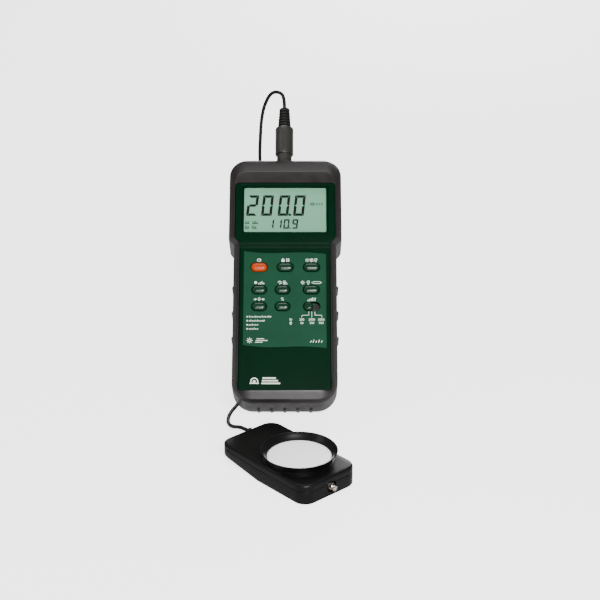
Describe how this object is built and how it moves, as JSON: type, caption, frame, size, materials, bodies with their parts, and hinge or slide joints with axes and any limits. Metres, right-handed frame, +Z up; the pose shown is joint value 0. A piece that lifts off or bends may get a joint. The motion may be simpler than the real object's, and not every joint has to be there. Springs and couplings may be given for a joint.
{
  "type": "light meter",
  "caption": "Hand-held light meter in a rubber boot on its rear tilt stand, with keypad, display, range slide and a wedge-shaped light sensor on a plug-in cord.",
  "frame": {"origin": "middle of the object's footprint on the table, without the cord and plug", "axes": "+Z up, +Y from the sensor towards the meter's back, +X to the right of a person reading the display"},
  "size_m": [0.0864, 0.2942, 0.2022],
  "materials": {
    "boot_rubber": "fine satin grain",
    "cover_green": "fine spark texture",
    "label_green": "smooth satin film",
    "rear_dark": "fine spark texture",
    "lens_clear": "polished",
    "lcd_grey": "satin cell",
    "frame_white": "moulded",
    "strip_rubber": "moulded",
    "board_green": "solder mask",
    "part_black": "moulded",
    "trimmer_blue": "moulded",
    "brass_parts": "turned",
    "screw_steel": "plated",
    "battery_can": "printed can",
    "key_green": "polished",
    "key_orange": "polished",
    "stand_black": "fine spark texture",
    "foot_rubber": "matt",
    "plug_black": "moulded",
    "relief_rubber": "satin",
    "pin_nickel": "plated",
    "cord_sheath": "satin sheath",
    "tie_fabric": "hook and loop strap",
    "sensor_black": "fine spark texture",
    "collar_black": "satin",
    "diffuser_white": "opal",
    "filter_glass": "polished",
    "diode_grey": "moulded",
    "stud_nickel": "turned and plated"
  },
  "bodies": {
    "meter": {"protective_boot": "boot_rubber", "front_cover": "cover_green", "rear_cover": "rear_dark", "keypad_label": "label_green", "lcd_window": "lens_clear", "lcd_glass": "lcd_grey", "lcd_frame": "frame_white", "contact_strips": "strip_rubber", "main_board": "board_green", "key_switches": "part_black", "range_switch": "part_black", "contrast_trimmer": "trimmer_blue", "output_jack": "part_black", "sensor_socket": "part_black", "battery": "battery_can", "battery_snap": "part_black", "case_screws": "screw_steel", "board_screws": "screw_steel", "stand_pin": "screw_steel"},
    "tilt_stand": {"tilt_stand": "stand_black", "stand_feet": "foot_rubber"},
    "battery_cover": {"battery_cover": "rear_dark"},
    "range_knob": {"range_knob": "key_green"},
    "trimmer_rotor": {"trimmer_rotor": "brass_parts"},
    "plug": {"plug_shell": "plug_black", "plug_nose": "plug_black", "plug_insert": "part_black", "plug_pins": "pin_nickel", "plug_strain_relief": "relief_rubber", "cord_upper": "cord_sheath", "cord_coil": "cord_sheath", "coil_tie": "tie_fabric", "cord_lower": "cord_sheath"},
    "sensor": {"sensor_top_shell": "sensor_black", "sensor_bottom_shell": "sensor_black", "cord_gland": "relief_rubber", "diffuser_collar": "collar_black", "diffuser_disc": "diffuser_white", "light_filter": "filter_glass", "photodiode": "diode_grey", "sensor_board": "board_green", "sensor_screws": "screw_steel", "end_stud": "stud_nickel"},
    "power_key": {"power_key": "key_orange"},
    "hold_key": {"hold_key": "key_green"},
    "units_key": {"units_key": "key_green"},
    "record_key": {"record_key": "key_green"},
    "recall_key": {"recall_key": "key_green"},
    "lamp_key": {"lamp_key": "key_green"},
    "zero_key": {"zero_key": "key_green"},
    "percent_key": {"percent_key": "key_green"}
  },
  "joints": [
    {"name": "stand_fold", "type": "hinge", "parent": "meter", "child": "tilt_stand", "pos_m": [-0.00199, 0.08539, 0.08554], "axis": [1, 0, 0], "range_deg": [-54, 0]},
    {"name": "battery_cover_pull", "type": "slide", "parent": "meter", "child": "battery_cover", "axis": [0, 0.7431, -0.6691], "range_m": [0, 0.012]},
    {"name": "range_slide", "type": "slide", "parent": "meter", "child": "range_knob", "axis": [1, 0, 0], "range_m": [0, 0.0044]},
    {"name": "trimmer_turn", "type": "hinge", "parent": "meter", "child": "trimmer_rotor", "pos_m": [-0.03199, 0.04212, 0.09248], "axis": [-1, 0, 0], "range_deg": [-135, 135]},
    {"name": "plug_pull", "type": "slide", "parent": "meter", "child": "plug", "axis": [0, 0.6691, 0.7431], "range_m": [0, 0.016]},
    {"name": "sensor_lift", "type": "slide", "parent": "plug", "child": "sensor", "axis": [0, 0, 1], "range_m": [0, 0.05], "deforming": ["cord_lower"]},
    {"name": "power_press", "type": "slide", "parent": "meter", "child": "power_key", "axis": [0, 0.7431, -0.6691], "range_m": [0, 0.001], "stiffness_N_per_m": 300},
    {"name": "hold_press", "type": "slide", "parent": "meter", "child": "hold_key", "axis": [0, 0.7431, -0.6691], "range_m": [0, 0.001], "stiffness_N_per_m": 300},
    {"name": "units_press", "type": "slide", "parent": "meter", "child": "units_key", "axis": [0, 0.7431, -0.6691], "range_m": [0, 0.001], "stiffness_N_per_m": 300},
    {"name": "record_press", "type": "slide", "parent": "meter", "child": "record_key", "axis": [0, 0.7431, -0.6691], "range_m": [0, 0.001], "stiffness_N_per_m": 300},
    {"name": "recall_press", "type": "slide", "parent": "meter", "child": "recall_key", "axis": [0, 0.7431, -0.6691], "range_m": [0, 0.001], "stiffness_N_per_m": 300},
    {"name": "lamp_press", "type": "slide", "parent": "meter", "child": "lamp_key", "axis": [0, 0.7431, -0.6691], "range_m": [0, 0.001], "stiffness_N_per_m": 300},
    {"name": "zero_press", "type": "slide", "parent": "meter", "child": "zero_key", "axis": [0, 0.7431, -0.6691], "range_m": [0, 0.001], "stiffness_N_per_m": 300},
    {"name": "percent_press", "type": "slide", "parent": "meter", "child": "percent_key", "axis": [0, 0.7431, -0.6691], "range_m": [0, 0.001], "stiffness_N_per_m": 300}
  ]
}
